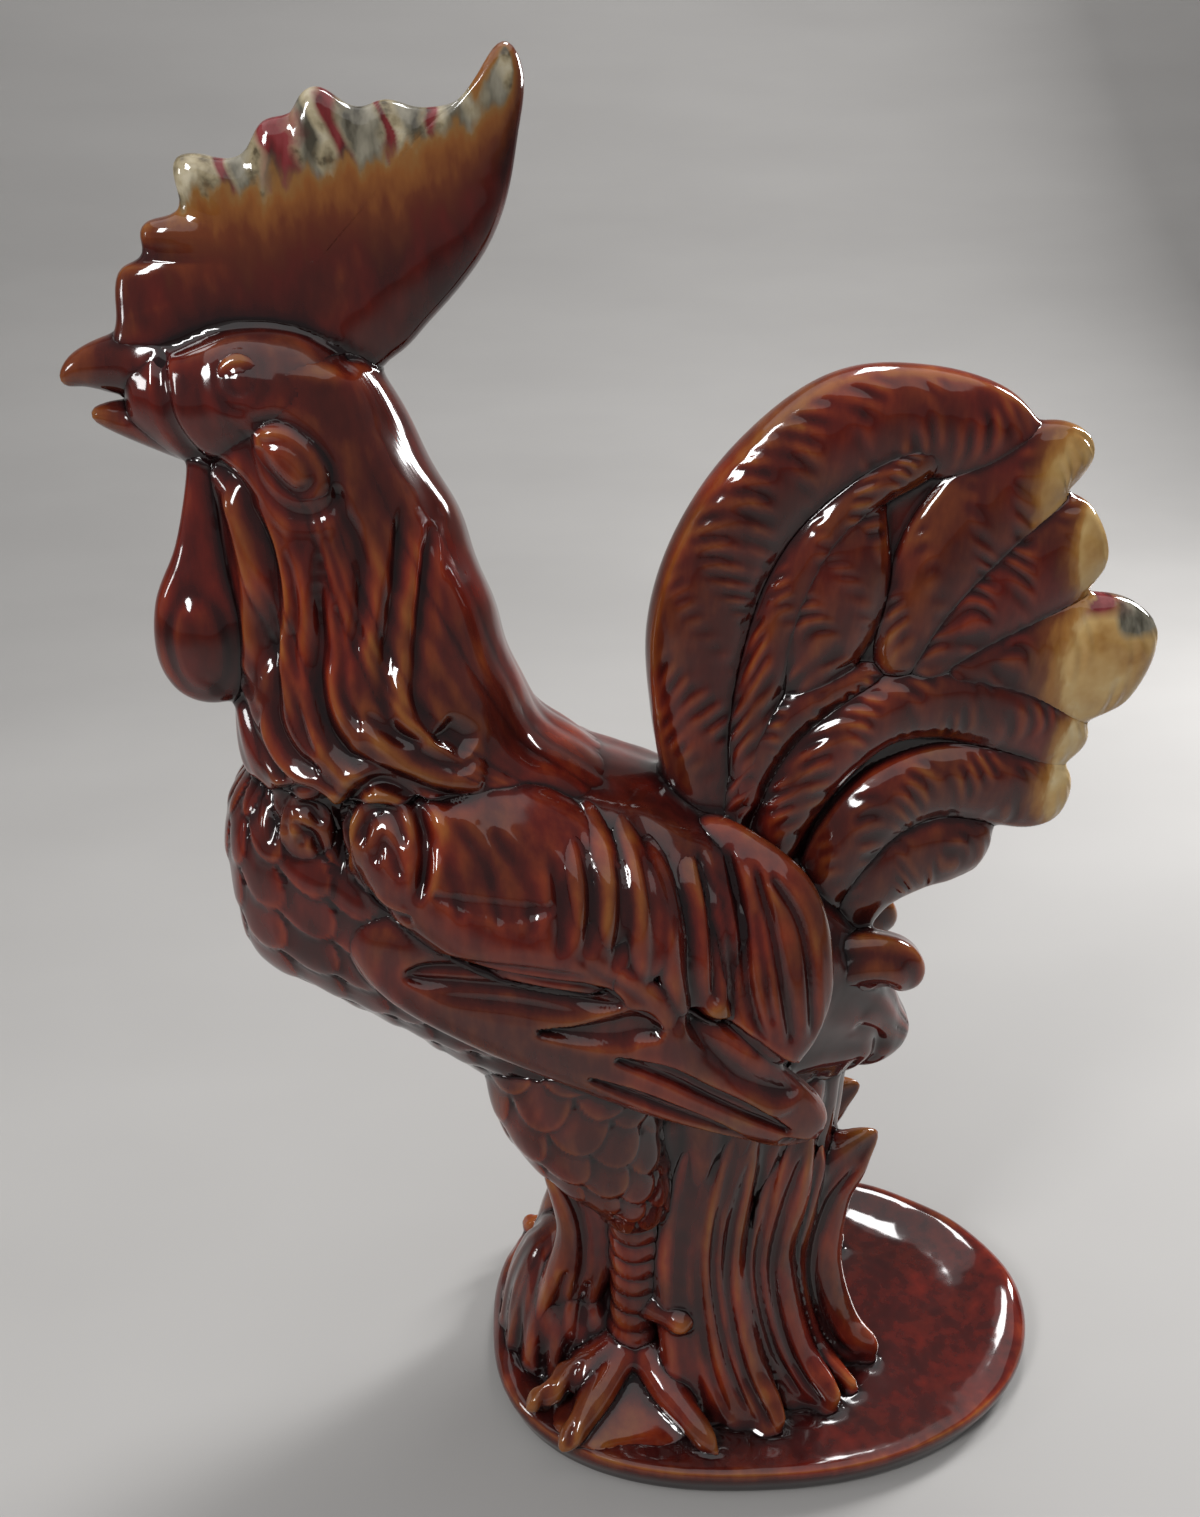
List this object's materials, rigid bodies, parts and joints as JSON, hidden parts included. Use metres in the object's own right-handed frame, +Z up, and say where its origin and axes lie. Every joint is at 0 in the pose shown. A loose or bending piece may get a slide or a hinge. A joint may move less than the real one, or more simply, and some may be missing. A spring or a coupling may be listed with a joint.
{
  "type": "ceramic rooster figurine",
  "caption": "Glazed ceramic rooster with a tall comb, fluted hackle, folded wings and a fan tail, on a grass clump and an oval dished base; an ornament that stands on its flat underside.",
  "frame": {"origin": "middle of the flat underside of the oval base, where it rests on the table", "axes": "+Z up, the bird faces -X and its tail points to +X, its left side is -Y"},
  "size_m": [0.2085, 0.094, 0.3],
  "materials": {
    "treacle_glaze": "high-gloss brown treacle glaze over a pale body",
    "cream_tipped_glaze": "high-gloss brown glaze breaking to cream at the tips"
  },
  "bodies": {
    "root": {"base_plinth": "treacle_glaze", "ground_mound": "treacle_glaze", "grass_core": "treacle_glaze", "left_grass": "treacle_glaze", "right_grass": "treacle_glaze", "left_foot": "treacle_glaze", "right_foot": "treacle_glaze", "left_shank": "treacle_glaze", "right_shank": "treacle_glaze", "left_thigh": "treacle_glaze", "right_thigh": "treacle_glaze", "body": "treacle_glaze", "left_wing_shoulder": "treacle_glaze", "right_wing_shoulder": "treacle_glaze", "left_wing_primaries": "treacle_glaze", "right_wing_primaries": "treacle_glaze", "left_saddle_hackle": "treacle_glaze", "right_saddle_hackle": "treacle_glaze", "left_breast_curls": "treacle_glaze", "right_breast_curls": "treacle_glaze", "neck_hackle": "treacle_glaze", "head": "treacle_glaze", "upper_beak": "treacle_glaze", "lower_beak": "treacle_glaze", "comb": "cream_tipped_glaze", "left_eye": "treacle_glaze", "right_eye": "treacle_glaze", "left_ear_lobe": "treacle_glaze", "right_ear_lobe": "treacle_glaze", "left_wattle": "treacle_glaze", "right_wattle": "treacle_glaze", "tail_web": "treacle_glaze", "outer_sickle": "treacle_glaze", "inner_sickle": "treacle_glaze", "tail_leaf": "treacle_glaze", "upper_tail_feather": "cream_tipped_glaze", "rear_tail_feather": "cream_tipped_glaze", "broad_tail_feather": "cream_tipped_glaze", "short_sickle": "treacle_glaze", "long_sickle": "cream_tipped_glaze", "lower_sickle": "cream_tipped_glaze", "low_tail_feather": "treacle_glaze", "left_tail_covert": "treacle_glaze", "right_tail_covert": "treacle_glaze"}
  },
  "joints": []
}
